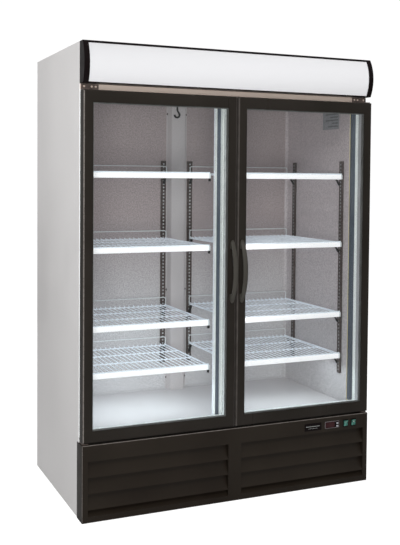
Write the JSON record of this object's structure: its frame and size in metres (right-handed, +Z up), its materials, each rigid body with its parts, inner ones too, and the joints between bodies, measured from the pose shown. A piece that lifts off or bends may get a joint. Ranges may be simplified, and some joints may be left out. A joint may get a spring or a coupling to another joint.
{
  "type": "glass door merchandiser",
  "caption": "Upright drinks cooler with glass swing doors, wire shelves in each compartment, a lit header and a louvred base that houses the condensing unit.",
  "frame": {"origin": "centre of the overall bounding box's footprint, on the floor", "axes": "+Z up, doors face -Y, +X to the right of a person facing the doors"},
  "size_m": [1.4044, 0.858, 2],
  "materials": {
    "white_steel": "smooth white paint, satin",
    "zinc_steel": "galvanised sheet",
    "foam": null,
    "liner": "white stucco-coated sheet",
    "white_plastic": "white extruded plastic",
    "lamp": "lamp diffuser",
    "champagne_metal": "brushed, champagne coloured",
    "black_steel": "black paint, satin",
    "black_plastic": "black, fine grain",
    "opal": "opal white, lit from behind",
    "grey_plastic": "moulded",
    "green_lens": "translucent green",
    "bracket_steel": "bronzed plate",
    "black_aluminium": "black anodised extrusion",
    "rubber": "magnetic door gasket",
    "glass": "clear double glazing",
    "shelf_wire": "white-grey coated wire",
    "dark_steel": "slotted, dark",
    "fin_metal": "fin block"
  },
  "bodies": {
    "cabinet": {"base_pan": "zinc_steel", "ceiling_liner": "liner", "compressor": "black_steel", "condenser_coil": "fin_metal", "controller": "black_plastic", "drain_channel": "liner", "evaporator_coil": "fin_metal", "evaporator_cover": "liner", "floor_liner": "liner", "front_frame": "white_plastic", "front_grille": "black_steel", "header_strip": "champagne_metal", "insulation": "foam", "left_back_standard": "dark_steel", "left_bottom_hinge": "bracket_steel", "left_bottom_shelf": "shelf_wire", "left_end_cap": "black_plastic", "left_front_standard": "dark_steel", "left_liner": "liner", "left_lower_shelf": "shelf_wire", "left_rear_standard": "dark_steel", "left_side_panel": "white_steel", "left_top_hinge": "bracket_steel", "left_top_shelf": "shelf_wire", "left_upper_shelf": "shelf_wire", "mullion": "white_plastic", "mullion_lamp": "lamp", "rear_liner": "liner", "rear_panel": "zinc_steel", "right_back_standard": "dark_steel", "right_bottom_hinge": "bracket_steel", "right_bottom_shelf": "shelf_wire", "right_end_cap": "black_plastic", "right_front_standard": "dark_steel", "right_liner": "liner", "right_lower_shelf": "shelf_wire", "right_rear_standard": "dark_steel", "right_side_panel": "white_steel", "right_top_hinge": "bracket_steel", "right_top_shelf": "shelf_wire", "right_upper_shelf": "shelf_wire", "sign_housing": "black_steel", "sign_lamp": "lamp", "sign_panel": "opal", "switch_housing": "black_plastic", "top_panel": "white_steel"},
    "left_door": {"left_door_frame": "black_aluminium", "left_gasket": "rubber", "left_glass_unit": "glass", "left_handle": "black_plastic"},
    "right_door": {"right_door_frame": "black_aluminium", "right_gasket": "rubber", "right_glass_unit": "glass", "right_handle": "black_plastic"},
    "light_rocker": {"light_rocker": "green_lens"},
    "power_rocker": {"power_rocker": "green_lens"},
    "up_button": {"up_button": "grey_plastic"},
    "down_button": {"down_button": "grey_plastic"},
    "evaporator_fan": {"evaporator_fan": "grey_plastic"},
    "condenser_fan": {"condenser_fan": "grey_plastic"}
  },
  "joints": [
    {"name": "left_door_hinge", "type": "hinge", "parent": "cabinet", "child": "left_door", "pos_m": [-0.69, -0.358, 1.0665], "axis": [0, 0, -1], "range_deg": [0, 110]},
    {"name": "right_door_hinge", "type": "hinge", "parent": "cabinet", "child": "right_door", "pos_m": [0.69, -0.358, 1.0665], "axis": [0, 0, 1], "range_deg": [0, 110]},
    {"name": "light_rocker_hinge", "type": "hinge", "parent": "cabinet", "child": "light_rocker", "pos_m": [0.5775, -0.381, 0.2915], "axis": [-1, 0, 0], "range_deg": [0, 18]},
    {"name": "power_rocker_hinge", "type": "hinge", "parent": "cabinet", "child": "power_rocker", "pos_m": [0.6205, -0.381, 0.2915], "axis": [-1, 0, 0], "range_deg": [0, 18]},
    {"name": "up_button_press", "type": "slide", "parent": "cabinet", "child": "up_button", "axis": [0, 1, 0], "range_m": [0, 0.001], "stiffness_N_per_m": 150},
    {"name": "down_button_press", "type": "slide", "parent": "cabinet", "child": "down_button", "axis": [0, 1, 0], "range_m": [0, 0.001], "stiffness_N_per_m": 150},
    {"name": "evaporator_fan_spin", "type": "hinge", "parent": "cabinet", "child": "evaporator_fan", "pos_m": [-0.22, 0.0615, 1.862], "axis": [0, 0, 1], "continuous": true},
    {"name": "condenser_fan_spin", "type": "hinge", "parent": "cabinet", "child": "condenser_fan", "pos_m": [0.12, -0.206, 0.135], "axis": [0, 1, 0], "continuous": true}
  ]
}
